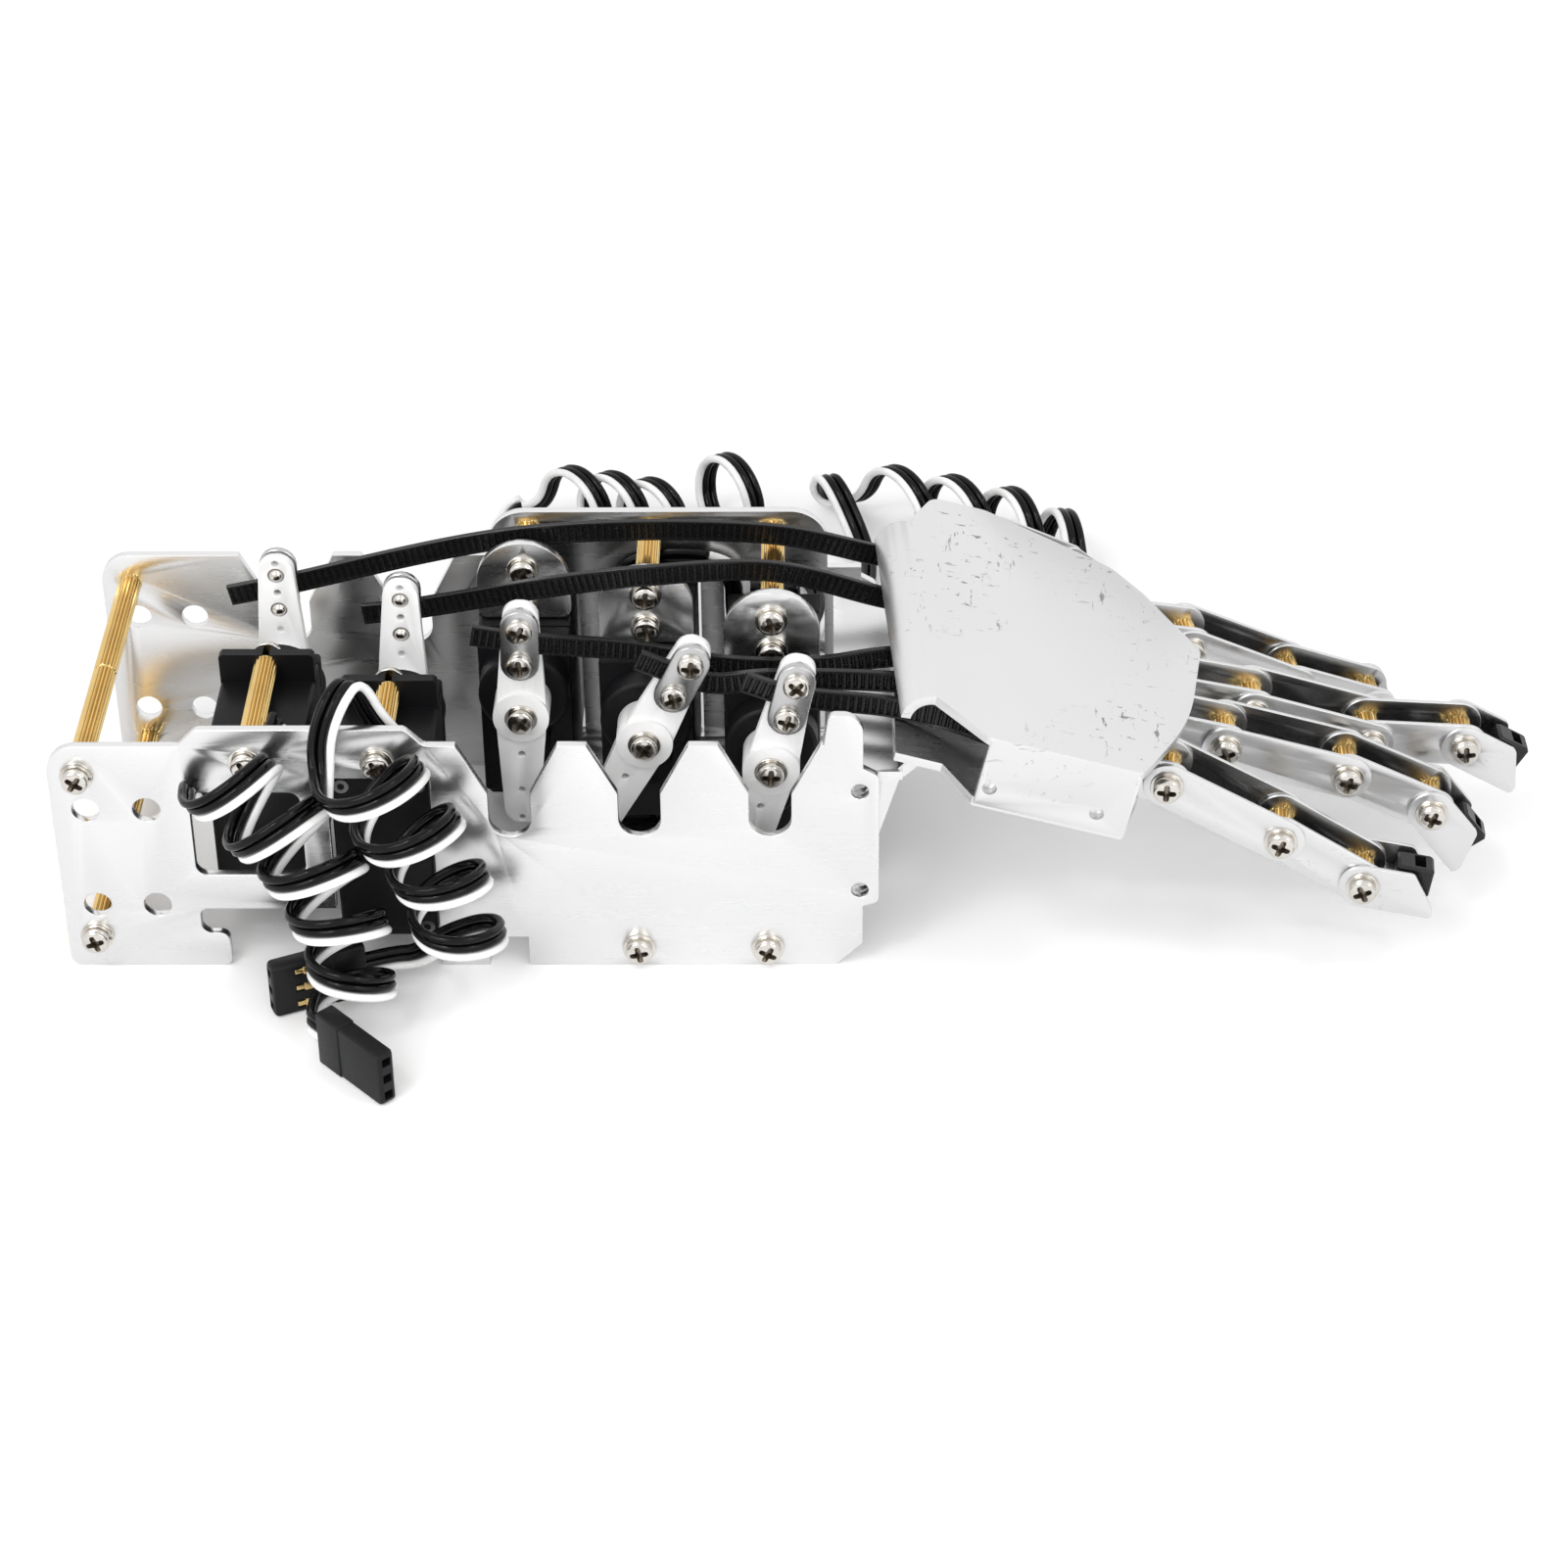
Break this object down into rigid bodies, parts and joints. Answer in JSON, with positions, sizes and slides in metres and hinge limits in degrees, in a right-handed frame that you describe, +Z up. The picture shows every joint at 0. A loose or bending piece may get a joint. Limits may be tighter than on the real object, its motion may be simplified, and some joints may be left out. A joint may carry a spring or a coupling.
{
  "type": "robotic hand",
  "caption": "Tendon-driven robotic hand: sheet-metal forearm with micro servos, cable-tie tendons, folded palm and jointed fingers of hinged channels.",
  "frame": {"origin": "centre of the floor plate's underside, level with the feet of the side plates", "axes": "+X from the forearm's rear end to the fingertips, +Y from the near side plate to the far one, +Z up"},
  "size_m": [0.1897, 0.1457, 0.0426],
  "materials": {
    "sheet_metal": "satin bright sheet",
    "brass_spacer": "knurled",
    "plated_screw": "plated",
    "servo_case": "fine matt moulding",
    "milky_nylon": "milky translucent nylon",
    "black_strap": "moulded nylon",
    "wire_sleeve": "soft insulation",
    "black_plug": "moulded housing"
  },
  "bodies": {
    "forearm": {"front_side_plate": "sheet_metal", "rear_side_plate": "sheet_metal", "floor_plate": "sheet_metal", "palm_base": "sheet_metal", "palm_cover": "sheet_metal", "end_standoffs": "brass_spacer", "servo_standoffs": "brass_spacer", "servo_brackets": "sheet_metal", "servo_nuts": "plated_screw", "frame_screws": "plated_screw", "servo_screws": "plated_screw", "metacarpals": "sheet_metal", "knuckle_pins": "plated_screw", "plugs": "black_plug", "servo_1": "servo_case", "servo_2": "servo_case", "servo_3": "servo_case", "servo_4": "servo_case", "servo_5": "servo_case", "tie_1": "black_strap", "tie_2": "black_strap", "tie_3": "black_strap", "tie_4": "black_strap", "tie_5": "black_strap", "lead_1": "wire_sleeve", "lead_2": "wire_sleeve", "lead_3": "wire_sleeve", "lead_4": "wire_sleeve", "lead_5": "wire_sleeve"},
    "horn_arm_1": {"horn_1": "milky_nylon", "horn_clamp_1": "plated_screw"},
    "thumb_proximal_link": {"thumb_proximal": "sheet_metal"},
    "thumb_distal_link": {"thumb_distal": "sheet_metal", "thumb_pins": "plated_screw"},
    "horn_arm_2": {"horn_2": "milky_nylon", "horn_clamp_2": "plated_screw"},
    "index_proximal_link": {"index_proximal": "sheet_metal"},
    "index_middle_link": {"index_middle": "sheet_metal", "index_pins": "plated_screw"},
    "index_distal_link": {"index_distal": "sheet_metal"},
    "horn_arm_3": {"horn_3": "milky_nylon", "horn_clamp_3": "plated_screw"},
    "middle_proximal_link": {"middle_proximal": "sheet_metal"},
    "middle_middle_link": {"middle_middle": "sheet_metal", "middle_pins": "plated_screw"},
    "middle_distal_link": {"middle_distal": "sheet_metal"},
    "horn_arm_4": {"horn_4": "milky_nylon", "horn_clamp_4": "plated_screw"},
    "ring_proximal_link": {"ring_proximal": "sheet_metal"},
    "ring_middle_link": {"ring_middle": "sheet_metal", "ring_pins": "plated_screw"},
    "ring_distal_link": {"ring_distal": "sheet_metal"},
    "horn_arm_5": {"horn_5": "milky_nylon", "horn_clamp_5": "plated_screw"},
    "little_proximal_link": {"little_proximal": "sheet_metal"},
    "little_middle_link": {"little_middle": "sheet_metal", "little_pins": "plated_screw"},
    "little_distal_link": {"little_distal": "sheet_metal"}
  },
  "joints": [
    {"name": "horn_1_turn", "type": "hinge", "parent": "forearm", "child": "horn_arm_1", "pos_m": [-0.0533, -0.00075, 0.02185], "axis": [0, 1, 0], "range_deg": [-28, 3], "deforming": ["tie_1"]},
    {"name": "thumb_proximal_joint", "type": "hinge", "parent": "forearm", "child": "thumb_proximal_link", "pos_m": [0.04244, 0.0275, 0.0311], "axis": [-0.4126, 0.9063, 0.0915], "range_deg": [-6.5, 56.5]},
    {"name": "thumb_distal_joint", "type": "hinge", "parent": "thumb_proximal_link", "child": "thumb_distal_link", "pos_m": [0.05228, 0.03273, 0.02366], "axis": [-0.4126, 0.9063, 0.0915], "range_deg": [-7.4, 64.9]},
    {"name": "horn_2_turn", "type": "hinge", "parent": "forearm", "child": "horn_arm_2", "pos_m": [-0.037, -0.00685, 0.02185], "axis": [0, 1, 0], "range_deg": [-28, 3], "deforming": ["tie_2"]},
    {"name": "index_proximal_joint", "type": "hinge", "parent": "forearm", "child": "index_proximal_link", "pos_m": [0.06594, 0.014, 0.02589], "axis": [-0.1359, 0.9903, 0.0301], "range_deg": [-6.5, 56.5]},
    {"name": "index_middle_joint", "type": "hinge", "parent": "index_proximal_link", "child": "index_middle_link", "pos_m": [0.08018, 0.01618, 0.01849], "axis": [-0.1359, 0.9903, 0.0301], "range_deg": [-7.4, 64.9]},
    {"name": "index_distal_joint", "type": "hinge", "parent": "index_middle_link", "child": "index_distal_link", "pos_m": [0.09136, 0.01785, 0.01389], "axis": [-0.1359, 0.9903, 0.0301], "range_deg": [-4.7, 39.7]},
    {"name": "horn_3_turn", "type": "hinge", "parent": "forearm", "child": "horn_arm_3", "pos_m": [-0.0209, 0.0144, 0.02335], "axis": [0, 1, 0], "range_deg": [-25, 3], "deforming": ["tie_3"]},
    {"name": "middle_proximal_joint", "type": "hinge", "parent": "forearm", "child": "middle_proximal_link", "pos_m": [0.07354, 0.0015, 0.0242], "axis": [-0.017, 0.9998, 0.0038], "range_deg": [-6.5, 50.5]},
    {"name": "middle_middle_joint", "type": "hinge", "parent": "middle_proximal_link", "child": "middle_middle_link", "pos_m": [0.08898, 0.00178, 0.01933], "axis": [-0.017, 0.9998, 0.0038], "range_deg": [-7.4, 58]},
    {"name": "middle_distal_joint", "type": "hinge", "parent": "middle_middle_link", "child": "middle_distal_link", "pos_m": [0.10115, 0.00199, 0.01848], "axis": [-0.017, 0.9998, 0.0038], "range_deg": [-4.7, 35.5]},
    {"name": "horn_4_turn", "type": "hinge", "parent": "forearm", "child": "horn_arm_4", "pos_m": [-0.0047, 0.0083, 0.02335], "axis": [0, 1, 0], "range_deg": [-28, 3], "deforming": ["tie_4"]},
    {"name": "ring_proximal_joint", "type": "hinge", "parent": "forearm", "child": "ring_proximal_link", "pos_m": [0.06924, -0.00805, 0.02516], "axis": [0.0341, 0.9994, -0.0076], "range_deg": [-6.5, 56.5]},
    {"name": "ring_middle_joint", "type": "hinge", "parent": "ring_proximal_link", "child": "ring_middle_link", "pos_m": [0.08489, -0.00861, 0.02102], "axis": [0.0341, 0.9994, -0.0076], "range_deg": [-7.4, 64.9]},
    {"name": "ring_distal_joint", "type": "hinge", "parent": "ring_middle_link", "child": "ring_distal_link", "pos_m": [0.09594, -0.00903, 0.01587], "axis": [0.0341, 0.9994, -0.0076], "range_deg": [-4.7, 39.7]},
    {"name": "horn_5_turn", "type": "hinge", "parent": "forearm", "child": "horn_arm_5", "pos_m": [0.0116, 0.0022, 0.02335], "axis": [0, 1, 0], "range_deg": [-28, 3], "deforming": ["tie_5"]},
    {"name": "little_proximal_joint", "type": "hinge", "parent": "forearm", "child": "little_proximal_link", "pos_m": [0.06124, -0.019, 0.02693], "axis": [0.1021, 0.9945, -0.0226], "range_deg": [-6.5, 56.5]},
    {"name": "little_middle_joint", "type": "hinge", "parent": "little_proximal_link", "child": "little_middle_link", "pos_m": [0.07562, -0.02064, 0.01967], "axis": [0.1021, 0.9945, -0.0226], "range_deg": [-7.4, 64.9]},
    {"name": "little_distal_joint", "type": "hinge", "parent": "little_middle_link", "child": "little_distal_link", "pos_m": [0.0861, -0.02186, 0.01353], "axis": [0.1021, 0.9945, -0.0226], "range_deg": [-4.7, 39.7]}
  ],
  "couplings": [
    {"joint": "thumb_proximal_joint", "follows": "horn_1_turn", "ratio": -2},
    {"joint": "thumb_distal_joint", "follows": "horn_1_turn", "ratio": -2.3},
    {"joint": "index_proximal_joint", "follows": "horn_2_turn", "ratio": -2},
    {"joint": "index_middle_joint", "follows": "horn_2_turn", "ratio": -2.3},
    {"joint": "index_distal_joint", "follows": "horn_2_turn", "ratio": -1.4},
    {"joint": "middle_proximal_joint", "follows": "horn_3_turn", "ratio": -2},
    {"joint": "middle_middle_joint", "follows": "horn_3_turn", "ratio": -2.3},
    {"joint": "middle_distal_joint", "follows": "horn_3_turn", "ratio": -1.4},
    {"joint": "ring_proximal_joint", "follows": "horn_4_turn", "ratio": -2},
    {"joint": "ring_middle_joint", "follows": "horn_4_turn", "ratio": -2.3},
    {"joint": "ring_distal_joint", "follows": "horn_4_turn", "ratio": -1.4},
    {"joint": "little_proximal_joint", "follows": "horn_5_turn", "ratio": -2},
    {"joint": "little_middle_joint", "follows": "horn_5_turn", "ratio": -2.3},
    {"joint": "little_distal_joint", "follows": "horn_5_turn", "ratio": -1.4}
  ]
}
